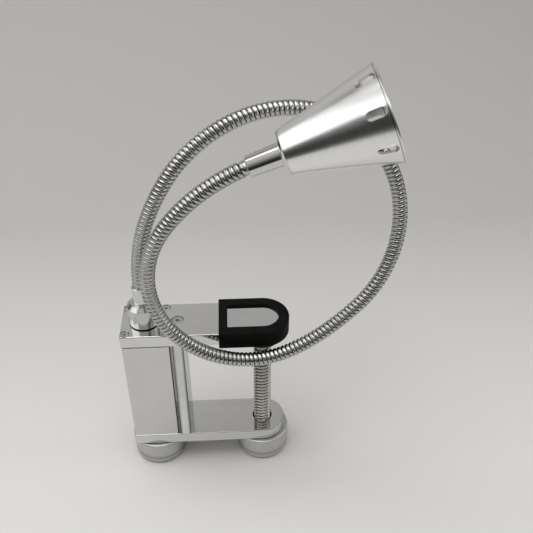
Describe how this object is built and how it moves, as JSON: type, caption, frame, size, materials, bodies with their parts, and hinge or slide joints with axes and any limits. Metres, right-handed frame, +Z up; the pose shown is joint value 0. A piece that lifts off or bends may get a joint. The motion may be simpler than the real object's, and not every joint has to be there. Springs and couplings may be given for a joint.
{
  "type": "clip-on reading lamp",
  "caption": "Battery-powered clip-on reading lamp: screw clamp with a rubber-capped jaw, a battery box, a long metal gooseneck and a conical LED head with slots.",
  "frame": {"origin": "centre of the upper jaw's gripping face, on the clamp screw's axis", "axes": "+X from the battery box to the round end of the jaws, +Y to the back, +Z up along the clamp screw"},
  "size_m": [0.1507, 0.0585, 0.2493],
  "materials": {
    "polished_metal": "polished, satin",
    "turned_metal": "satin, turned",
    "spun_metal": "satin, spun",
    "chrome": "chromed",
    "screw_steel": "zinc plated",
    "black_rubber": "matt",
    "black_plastic": "satin",
    "white_plastic": "satin",
    "cell_wrap": "shrink film over a steel can",
    "brass": "bright",
    "board_green": "glass fibre board",
    "board_white": "white coated board",
    "chip_black": "matt",
    "wire_cover": "insulated copper",
    "heat_sink_grey": "anodised",
    "led_phosphor": "phosphor under clear silicone",
    "reflector_bright": "vacuum metallised",
    "clear_lens": "clear polycarbonate"
  },
  "bodies": {
    "clamp_frame": {"top_plate": "polished_metal", "lower_plate": "polished_metal", "spine": "polished_metal", "battery_box": "polished_metal", "box_gasket": "black_rubber", "box_screws": "screw_steel", "spine_screws": "screw_steel", "jaw_cap": "black_rubber", "neck_collar": "polished_metal", "collar_ring": "black_rubber", "collar_grub_screw": "screw_steel", "base_ferrule": "chrome", "cell_sleeve": "white_plastic", "battery_cell": "cell_wrap", "positive_contact": "brass", "driver_board": "board_green", "driver_chip": "chip_black", "base_wires": "wire_cover", "neck_segment_1": "chrome", "neck_wires_1": "wire_cover"},
    "foot": {"foot_cap": "turned_metal", "foot_seal": "black_rubber", "foot_contact": "brass"},
    "clamp_pad": {"pressure_pad": "black_plastic", "pad_face": "black_rubber"},
    "clamp_knob": {"clamp_screw": "screw_steel", "knob": "turned_metal", "knob_grub_screw": "screw_steel"},
    "neck_2": {"neck_segment_2": "chrome", "neck_wires_2": "wire_cover"},
    "neck_3": {"neck_segment_3": "chrome", "neck_wires_3": "wire_cover"},
    "neck_4": {"neck_segment_4": "chrome", "neck_wires_4": "wire_cover"},
    "neck_5": {"neck_segment_5": "chrome", "neck_wires_5": "wire_cover"},
    "neck_6": {"neck_segment_6": "chrome", "neck_wires_6": "wire_cover"},
    "neck_7": {"neck_segment_7": "chrome", "neck_wires_7": "wire_cover"},
    "neck_8": {"neck_segment_8": "chrome", "neck_wires_8": "wire_cover"},
    "head": {"head_ferrule": "chrome", "ferrule_nut": "brass", "shade": "spun_metal", "heat_sink": "heat_sink_grey", "led_board": "board_white", "led_emitter": "led_phosphor", "reflector": "reflector_bright", "lens": "clear_lens", "lens_ring": "black_plastic", "head_wires": "wire_cover"}
  },
  "joints": [
    {"name": "screw_travel", "type": "slide", "parent": "clamp_frame", "child": "clamp_pad", "axis": [0, 0, 1], "range_m": [-0.06, 0]},
    {"name": "knob_turn", "type": "hinge", "parent": "clamp_pad", "child": "clamp_knob", "pos_m": [0, 0, -0.0053], "axis": [0, 0, 1], "range_deg": [-8641, 0]},
    {"name": "foot_twist", "type": "hinge", "parent": "clamp_frame", "child": "foot", "pos_m": [-0.0625, 0, -0.0772], "axis": [0, 0, 1], "range_deg": [0, 90]},
    {"name": "neck_bend_1", "type": "hinge", "parent": "clamp_frame", "child": "neck_2", "pos_m": [-0.04456, 0, 0.09387], "axis": [0, 1, 0], "range_deg": [-20, 2]},
    {"name": "neck_bend_2", "type": "hinge", "parent": "neck_2", "child": "neck_3", "pos_m": [0.01072, 0.0105, 0.12388], "axis": [0, 1, 0], "range_deg": [-12, 1]},
    {"name": "neck_bend_3", "type": "hinge", "parent": "neck_3", "child": "neck_4", "pos_m": [0.06526, 0.0075, 0.08605], "axis": [0, 1, 0], "range_deg": [-12, 1]},
    {"name": "neck_bend_4", "type": "hinge", "parent": "neck_4", "child": "neck_5", "pos_m": [0.04852, -0.009, 0.02134], "axis": [0, 1, 0], "range_deg": [-12, 6]},
    {"name": "neck_bend_5", "type": "hinge", "parent": "neck_5", "child": "neck_6", "pos_m": [0.01, -0.0192, -0.00045], "axis": [0, 1, 0], "range_deg": [-12, 6]},
    {"name": "neck_bend_6", "type": "hinge", "parent": "neck_6", "child": "neck_7", "pos_m": [-0.04098, -0.0215, 0.01273], "axis": [0, 1, 0], "range_deg": [-15, 6]},
    {"name": "neck_bend_7", "type": "hinge", "parent": "neck_7", "child": "neck_8", "pos_m": [-0.04489, -0.0215, 0.08168], "axis": [0, 1, 0], "range_deg": [-20, 6]},
    {"name": "head_turn", "type": "hinge", "parent": "neck_8", "child": "head", "pos_m": [-0.00831, -0.0215, 0.11131], "axis": [-0.3746, 0, 0.9272], "range_deg": [-25, 2]}
  ],
  "couplings": [
    {"joint": "knob_turn", "follows": "screw_travel", "rad_per_m": 2513.3}
  ]
}
